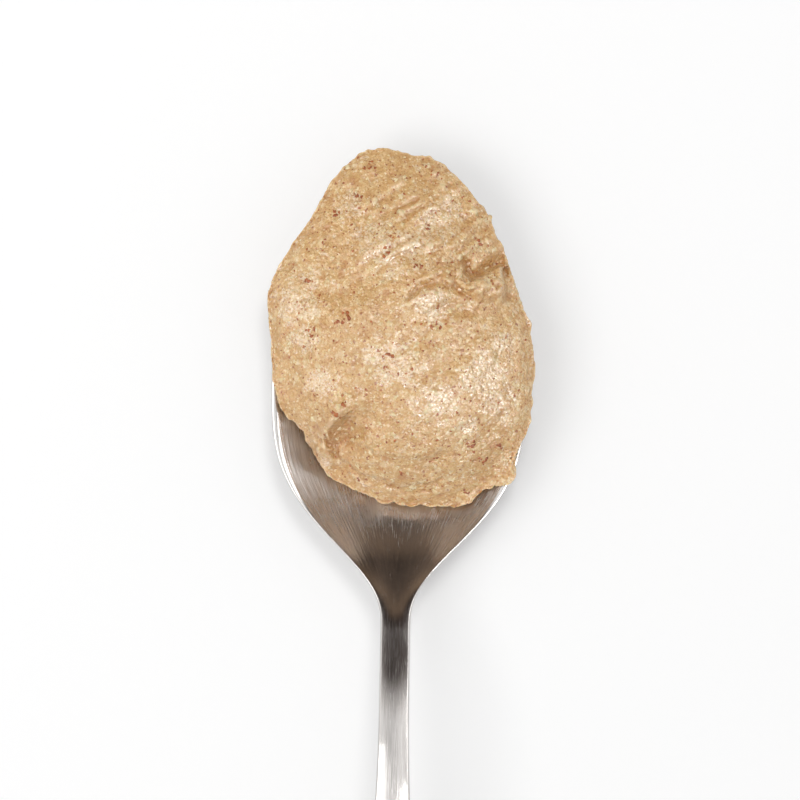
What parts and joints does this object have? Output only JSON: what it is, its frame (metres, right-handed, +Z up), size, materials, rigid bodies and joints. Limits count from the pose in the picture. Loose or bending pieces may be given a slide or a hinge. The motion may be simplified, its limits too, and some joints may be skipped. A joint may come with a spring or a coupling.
{
  "type": "spoonful of cashew butter",
  "caption": "Metal tablespoon lying bowl up, its bowl heaped with coarse nut butter that has torn ridges, a folded lip and skin flecks.",
  "frame": {"origin": "middle of the small flat spot under the bowl, on the plane that the spoon rests on", "axes": "+Y along the spoon from handle to tip, +Z up out of the bowl, +X across the bowl to the right as seen from above with the tip away"},
  "size_m": [0.0463, 0.2062, 0.0215],
  "materials": {
    "steel": "polished stainless steel with fine brushed streaks and light scratches",
    "nut_butter": "coarse oily nut paste, tan, with brown skin flecks and pale nut bits"
  },
  "bodies": {
    "root": {"spoon": "steel", "cashew_butter": "nut_butter"}
  },
  "joints": []
}
